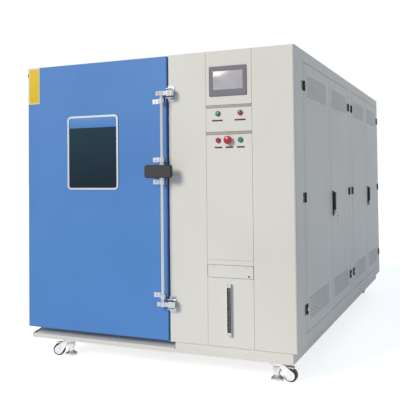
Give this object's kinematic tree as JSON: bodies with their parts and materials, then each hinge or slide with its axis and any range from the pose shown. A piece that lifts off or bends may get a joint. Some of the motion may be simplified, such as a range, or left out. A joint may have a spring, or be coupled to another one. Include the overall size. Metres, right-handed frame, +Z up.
{
  "type": "environmental test chamber",
  "caption": "Floor-standing environmental test chamber: tall insulated door with window and lock rod, console column, vented side service doors, levelling castors.",
  "frame": {"origin": "on the floor, below the middle of the whole object's box", "axes": "+X to the right along the front, the front looks to -Y, +Z up"},
  "size_m": [1.855, 3.232, 1.865],
  "materials": {
    "cabinet_white": "light textured powder coat, off-white",
    "door_blue": "powder coat, mid blue",
    "stainless": "brushed stainless sheet",
    "bright_steel": "bright plated steel",
    "cast_alloy": "cast, satin",
    "fin_alloy": "thin fin stock",
    "black_paint": "semi-gloss black",
    "black_plastic": "moulded, fine texture",
    "dark_bezel": "moulded, fine texture",
    "black_rubber": "matt",
    "gasket_rubber": "soft silicone",
    "foam": "rigid foam",
    "clear_glass": "coated double pane",
    "lens": "translucent lens",
    "red_plastic": "gloss",
    "green_plastic": "gloss",
    "tank_plastic": "translucent moulded",
    "gauge_clear": "clear tube in bright frame",
    "copper_black": "black enamel",
    "nylon_black": "nylon",
    "device_grey": "moulded housings",
    "motor_grey": "machine enamel"
  },
  "bodies": {
    "cabinet": {"base_frame": "cabinet_white", "drip_sill": "cabinet_white", "front_frame": "stainless", "left_panel": "cabinet_white", "roof_panel": "cabinet_white", "rear_panel": "cabinet_white", "rear_fittings": "bright_steel", "insulation": "foam", "chamber_liner": "stainless", "air_baffle": "stainless", "evaporator": "fin_alloy", "fan_motor": "motor_grey", "control_front": "cabinet_white", "console_plates": "cabinet_white", "touch_screen": "dark_bezel", "switch_collars": "bright_steel", "pilot_lenses": "lens", "level_gauge": "gauge_clear", "water_tank": "tank_plastic", "side_frame": "cabinet_white", "service_hinge_leaves": "black_paint", "door_hinge_plates": "stainless", "keepers": "stainless", "electrical_panel": "device_grey", "compressors": "copper_black", "condenser": "fin_alloy", "caster_plates": "cast_alloy"},
    "chamber_door": {"door_shell": "door_blue", "door_liner": "stainless", "door_gasket": "gasket_rubber", "window_frame": "stainless", "window_glass": "clear_glass", "door_hinge_arms": "stainless", "door_buffer": "black_rubber", "rod_brackets": "stainless"},
    "latch": {"lock_rod": "bright_steel", "handle_grip": "black_plastic"},
    "service_door_1": {"service_door_1": "cabinet_white"},
    "service_door_2": {"service_door_2": "cabinet_white"},
    "service_door_3": {"service_door_3": "cabinet_white"},
    "service_door_4": {"service_door_4": "cabinet_white"},
    "swing_lever_2": {"swing_lever_2": "black_plastic"},
    "swing_lever_4": {"swing_lever_4": "black_plastic"},
    "swivel_front_left": {"caster_swivel_front_left": "cast_alloy"},
    "wheel_front_left": {"caster_wheel_front_left": "nylon_black"},
    "foot_front_left": {"levelling_foot_front_left": "cast_alloy"},
    "swivel_front_right": {"caster_swivel_front_right": "cast_alloy"},
    "wheel_front_right": {"caster_wheel_front_right": "nylon_black"},
    "foot_front_right": {"levelling_foot_front_right": "cast_alloy"},
    "swivel_rear_left": {"caster_swivel_rear_left": "cast_alloy"},
    "wheel_rear_left": {"caster_wheel_rear_left": "nylon_black"},
    "swivel_rear_right": {"caster_swivel_rear_right": "cast_alloy"},
    "wheel_rear_right": {"caster_wheel_rear_right": "nylon_black"},
    "circulation_fan": {"circulation_fan": "stainless"},
    "condenser_fan": {"condenser_fan": "black_plastic"},
    "red_button": {"red_button": "red_plastic"},
    "green_button": {"green_button": "green_plastic"},
    "stop_button": {"stop_button": "red_plastic"},
    "filler_flap": {"filler_flap": "cabinet_white"},
    "gauge_float": {"gauge_float": "red_plastic"}
  },
  "joints": [
    {"name": "chamber_door_hinge", "type": "hinge", "parent": "cabinet", "child": "chamber_door", "pos_m": [-0.8945, -1.438, 1.025], "axis": [0, 0, -1], "range_deg": [0, 170]},
    {"name": "lock_rod_turn", "type": "hinge", "parent": "chamber_door", "child": "latch", "pos_m": [0.1015, -1.582, 1.025], "axis": [0, 0, -1], "range_deg": [0, 28]},
    {"name": "service_door_1_hinge", "type": "hinge", "parent": "cabinet", "child": "service_door_1", "pos_m": [0.8986, -1.3465, 1.025], "axis": [0, 0, -1], "range_deg": [0, 110]},
    {"name": "service_door_2_hinge", "type": "hinge", "parent": "cabinet", "child": "service_door_2", "pos_m": [0.8986, 0.0235, 1.025], "axis": [0, 0, 1], "range_deg": [0, 90]},
    {"name": "service_door_3_hinge", "type": "hinge", "parent": "cabinet", "child": "service_door_3", "pos_m": [0.8986, 0.1585, 1.025], "axis": [0, 0, -1], "range_deg": [0, 90]},
    {"name": "service_door_4_hinge", "type": "hinge", "parent": "cabinet", "child": "service_door_4", "pos_m": [0.8986, 1.5285, 1.025], "axis": [0, 0, 1], "range_deg": [0, 110]},
    {"name": "swing_lever_2_turn", "type": "hinge", "parent": "service_door_2", "child": "swing_lever_2", "pos_m": [0.9075, -0.579, 1.016], "axis": [1, 0, 0], "range_deg": [0, 90]},
    {"name": "swing_lever_4_turn", "type": "hinge", "parent": "service_door_4", "child": "swing_lever_4", "pos_m": [0.9075, 0.926, 1.016], "axis": [1, 0, 0], "range_deg": [0, 90]},
    {"name": "caster_front_left_swivel", "type": "hinge", "parent": "cabinet", "child": "swivel_front_left", "pos_m": [-0.6405, -1.432, 0.11], "axis": [0, 0, 1], "continuous": true},
    {"name": "caster_front_left_roll", "type": "hinge", "parent": "swivel_front_left", "child": "wheel_front_left", "pos_m": [-0.71282, -1.46122, 0.0375], "axis": [0.3746, -0.9272, 0], "continuous": true},
    {"name": "levelling_foot_front_left_screw", "type": "slide", "parent": "swivel_front_left", "child": "foot_front_left", "axis": [0, 0, 1], "range_m": [-0.012, 0.007]},
    {"name": "caster_front_right_swivel", "type": "hinge", "parent": "cabinet", "child": "swivel_front_right", "pos_m": [0.7435, -1.436, 0.11], "axis": [0, 0, 1], "continuous": true},
    {"name": "caster_front_right_roll", "type": "hinge", "parent": "swivel_front_right", "child": "wheel_front_right", "pos_m": [0.8215, -1.436, 0.0375], "axis": [0, 1, 0], "continuous": true},
    {"name": "levelling_foot_front_right_screw", "type": "slide", "parent": "swivel_front_right", "child": "foot_front_right", "axis": [0, 0, 1], "range_m": [-0.012, 0.007]},
    {"name": "caster_rear_left_swivel", "type": "hinge", "parent": "cabinet", "child": "swivel_rear_left", "pos_m": [-0.6405, 1.446, 0.11], "axis": [0, 0, 1], "continuous": true},
    {"name": "caster_rear_left_roll", "type": "hinge", "parent": "swivel_rear_left", "child": "wheel_rear_left", "pos_m": [-0.6405, 1.368, 0.0375], "axis": [1, 0, 0], "continuous": true},
    {"name": "caster_rear_right_swivel", "type": "hinge", "parent": "cabinet", "child": "swivel_rear_right", "pos_m": [0.7575, 1.456, 0.11], "axis": [0, 0, 1], "continuous": true},
    {"name": "caster_rear_right_roll", "type": "hinge", "parent": "swivel_rear_right", "child": "wheel_rear_right", "pos_m": [0.7575, 1.378, 0.0375], "axis": [1, 0, 0], "continuous": true},
    {"name": "circulation_fan_spin", "type": "hinge", "parent": "cabinet", "child": "circulation_fan", "pos_m": [0.0075, -0.294, 1.335], "axis": [1, 0, 0], "continuous": true},
    {"name": "condenser_fan_spin", "type": "hinge", "parent": "cabinet", "child": "condenser_fan", "pos_m": [0.6235, 0.502, 0.585], "axis": [1, 0, 0], "continuous": true},
    {"name": "red_button_press", "type": "slide", "parent": "cabinet", "child": "red_button", "axis": [0, 1, 0], "range_m": [0, 0.003], "stiffness_N_per_m": 400, "springref_m": -0.002},
    {"name": "green_button_press", "type": "slide", "parent": "cabinet", "child": "green_button", "axis": [0, 1, 0], "range_m": [0, 0.003], "stiffness_N_per_m": 400, "springref_m": -0.002},
    {"name": "stop_button_press", "type": "slide", "parent": "cabinet", "child": "stop_button", "axis": [0, 1, 0], "range_m": [0, 0.005]},
    {"name": "filler_flap_hinge", "type": "hinge", "parent": "cabinet", "child": "filler_flap", "pos_m": [0.5085, -1.5395, 0.638], "axis": [-1, 0, 0], "range_deg": [0, 80]},
    {"name": "gauge_float_rise", "type": "slide", "parent": "cabinet", "child": "gauge_float", "axis": [0, 0, 1], "range_m": [-0.045, 0.18]}
  ]
}
